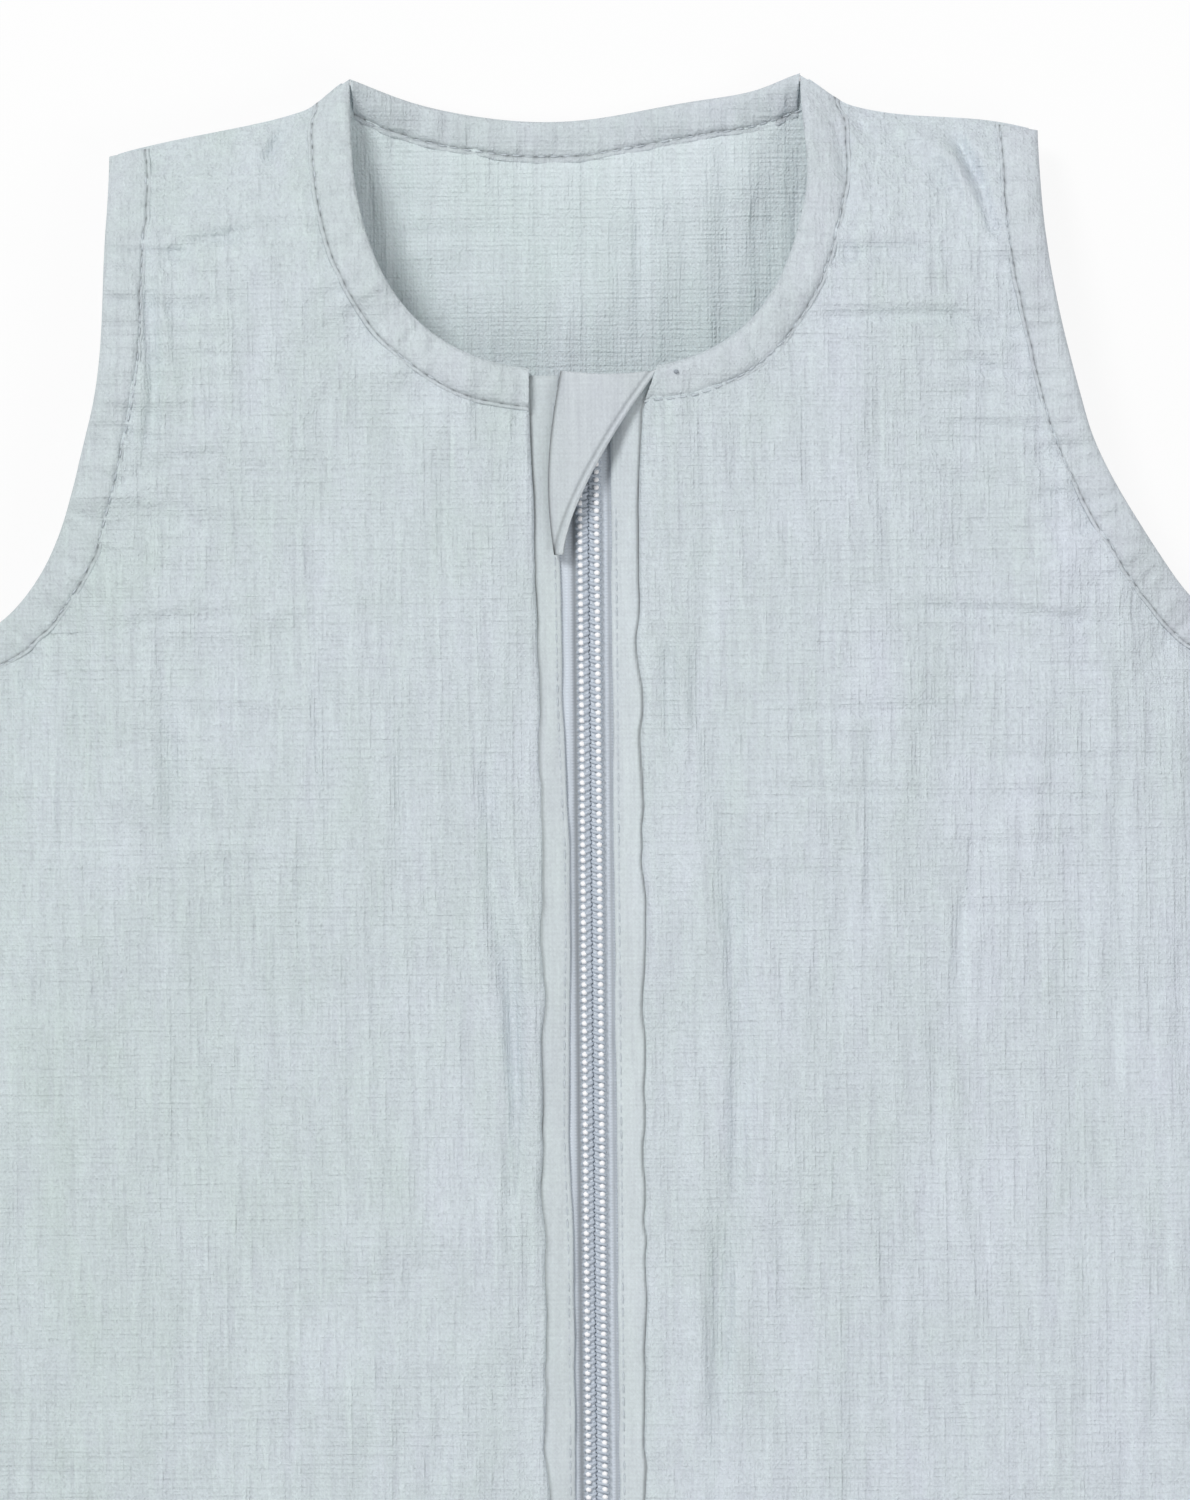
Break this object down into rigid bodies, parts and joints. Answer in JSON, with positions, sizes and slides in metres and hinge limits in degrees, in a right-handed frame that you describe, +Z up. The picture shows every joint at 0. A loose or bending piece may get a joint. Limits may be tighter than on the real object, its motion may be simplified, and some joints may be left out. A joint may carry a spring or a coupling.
{
  "type": "baby sleeping bag",
  "caption": "Sleeveless baby sleeping bag in pale muslin, lying flat, with bound neck and armholes, a long front zip with a slider, and a chin guard over the top of the zip.",
  "frame": {"origin": "middle of the bounding box at the underside of the back, which lies on the surface", "axes": "+Z up out of the front, +Y along the zip towards the neck, +X to the viewer's right when seen from the front"},
  "size_m": [0.43, 0.8, 0.0346],
  "materials": {
    "muslin": "crinkled double gauze",
    "lining_muslin": "crinkled double gauze",
    "binding_muslin": "folded double gauze",
    "zip_tape": "woven tape",
    "coil_nylon": "satin",
    "zip_plastic": "satin",
    "slider_metal": "satin paint"
  },
  "bodies": {
    "bag": {"back_panel": "muslin", "back_lining": "lining_muslin", "front_panel_left": "muslin", "front_panel_right": "muslin", "front_lining_left": "lining_muslin", "front_lining_right": "lining_muslin", "neck_binding_front_left": "binding_muslin", "neck_binding_front_right": "binding_muslin", "neck_binding_back": "binding_muslin", "armhole_binding_front_left": "binding_muslin", "armhole_binding_front_right": "binding_muslin", "armhole_binding_back_left": "binding_muslin", "armhole_binding_back_right": "binding_muslin", "zip_facing_left": "muslin", "zip_facing_right": "muslin", "zip_tape_left": "zip_tape", "zip_tape_right": "zip_tape", "zip_coil_left": "coil_nylon", "zip_coil_right": "coil_nylon", "zip_end_stop_left": "zip_plastic", "zip_end_stop_right": "zip_plastic", "zip_insertion_pin": "zip_plastic", "zip_retainer_box": "zip_plastic"},
    "zip_slider": {"zip_slider": "slider_metal"},
    "pull_tab": {"pull_tab": "slider_metal"},
    "zip_garage": {"zip_garage": "muslin"}
  },
  "joints": [
    {"name": "zip_slide", "type": "slide", "parent": "bag", "child": "zip_slider", "axis": [0, 1, 0], "range_m": [0, 0.645], "deforming": ["zip_coil_left", "zip_coil_right"]},
    {"name": "tab_swing", "type": "hinge", "parent": "zip_slider", "child": "pull_tab", "pos_m": [0, -0.33195, 0.03157], "axis": [-1, 0, 0], "range_deg": [0, 180]},
    {"name": "garage_turn", "type": "hinge", "parent": "bag", "child": "zip_garage", "pos_m": [-0.0095, 0.3295, 0.0303], "axis": [0, -1, 0], "range_deg": [0, 105]}
  ]
}
